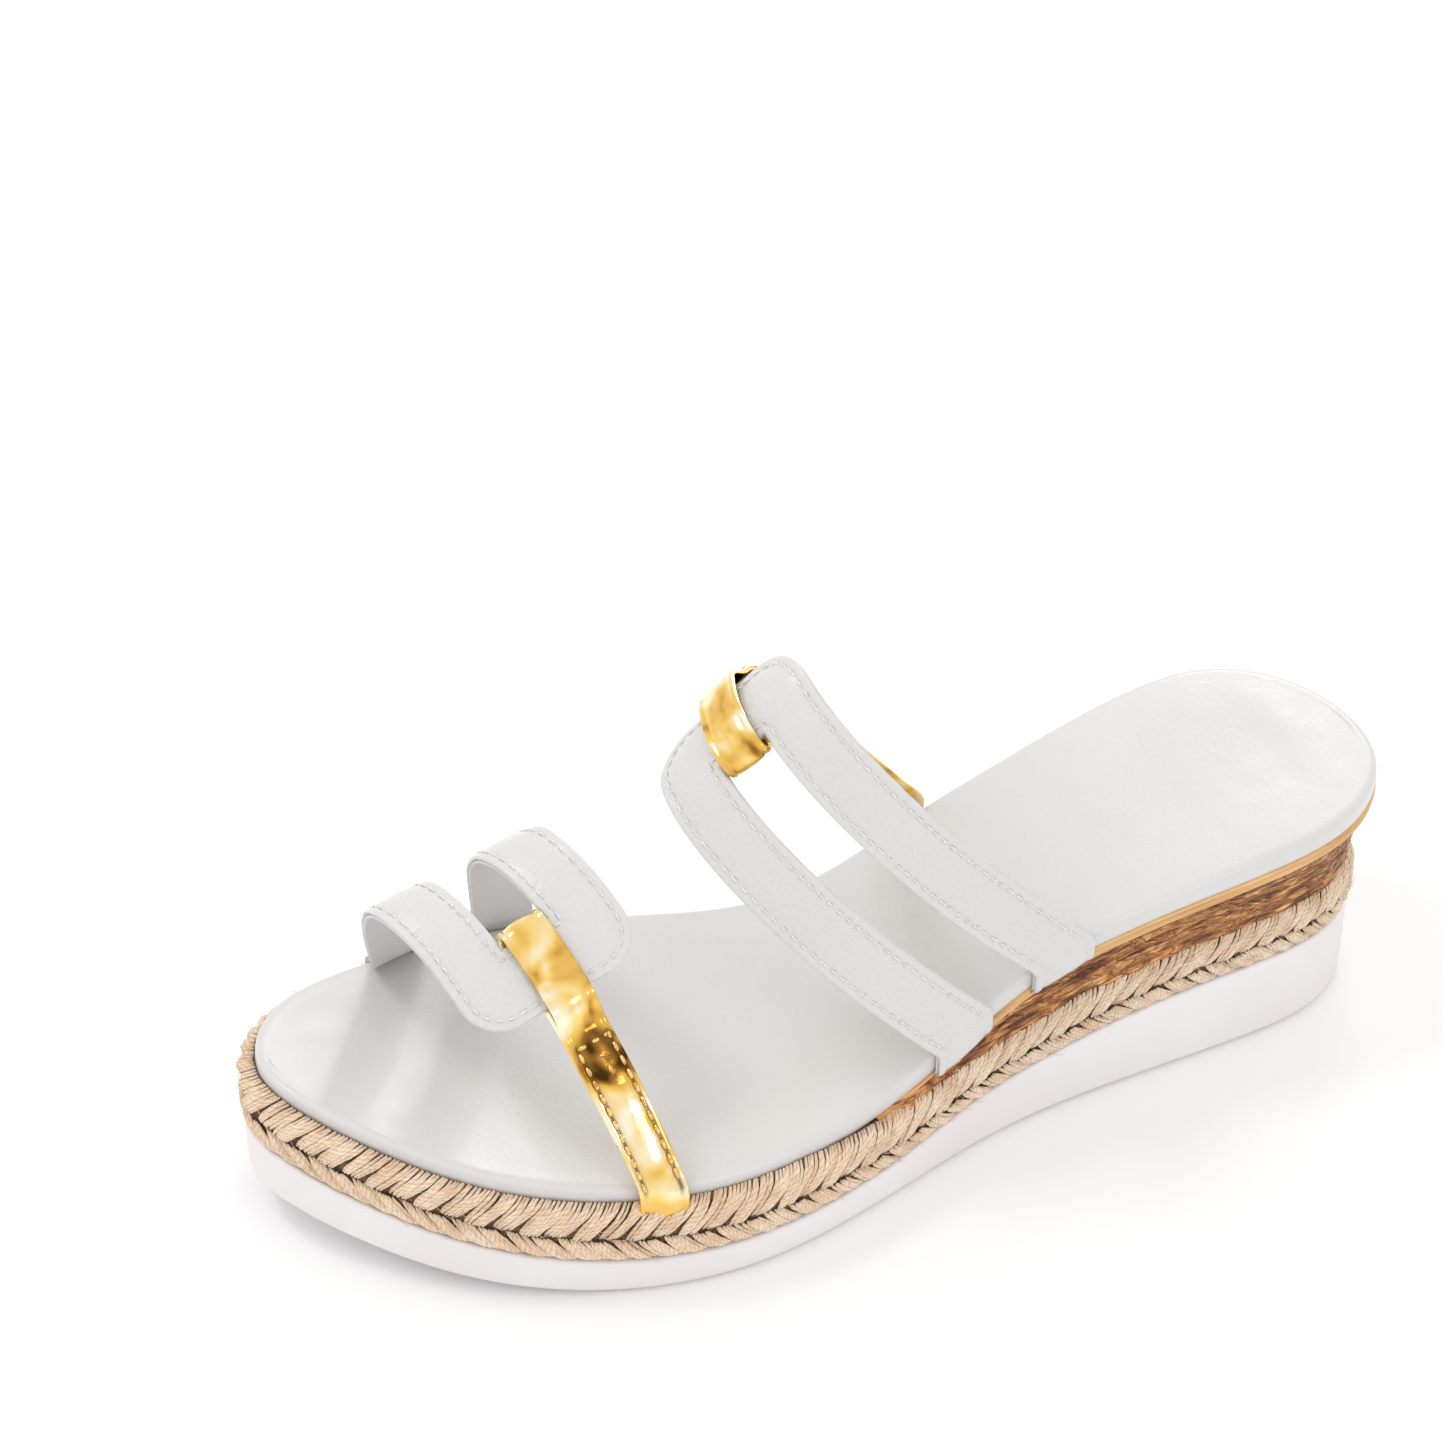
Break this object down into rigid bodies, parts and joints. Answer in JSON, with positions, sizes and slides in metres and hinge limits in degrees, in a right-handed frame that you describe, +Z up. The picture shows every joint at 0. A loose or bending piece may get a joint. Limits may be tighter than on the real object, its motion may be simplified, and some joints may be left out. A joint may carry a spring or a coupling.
{
  "type": "wedge sandal",
  "caption": "Slip-on wedge sandal: rubber cup sole, jute braid, cork-wrapped heel, padded insole, two U-shaped straps closed by gold straps.",
  "frame": {"origin": "middle of the footprint's bounding box, on the floor", "axes": "+Y from toe to heel, +X towards the outer side of the foot, +Z up"},
  "size_m": [0.0992, 0.252, 0.1133],
  "materials": {
    "outsole": "matt moulded white rubber",
    "wedge_core": "closed-cell foam, hidden",
    "cork_wrap": "cork sheet with horizontal ripples, satin",
    "jute_braid": "plaited jute, matt",
    "insole_board": "pressed fibre board, hidden",
    "footbed_foam": "thin padding, hidden",
    "footbed_cover": "smooth white synthetic leather, soft gloss",
    "strap_upper": "fine-grained white synthetic leather, soft gloss",
    "strap_lining": "smooth white lining, matt",
    "metal_strap": "gold foil on synthetic leather, creased, mirror-like",
    "seam": "white thread",
    "metal_seam": "gold-coloured thread"
  },
  "bodies": {
    "root": {"outsole": "outsole", "wedge_core": "wedge_core", "cork_wrap": "cork_wrap", "jute_braid": "jute_braid", "insole_board": "insole_board", "footbed_foam": "footbed_foam", "footbed_cover": "footbed_cover", "toe_strap_upper": "strap_upper", "toe_strap_lining": "strap_lining", "toe_metal_strap": "metal_strap", "toe_strap_outer_seam": "seam", "toe_strap_slot_seam": "seam", "toe_metal_seam": "metal_seam", "instep_strap_upper": "strap_upper", "instep_strap_lining": "strap_lining", "instep_metal_strap": "metal_strap", "instep_strap_outer_seam": "seam", "instep_strap_slot_seam": "seam", "instep_metal_seam": "metal_seam"}
  },
  "joints": []
}
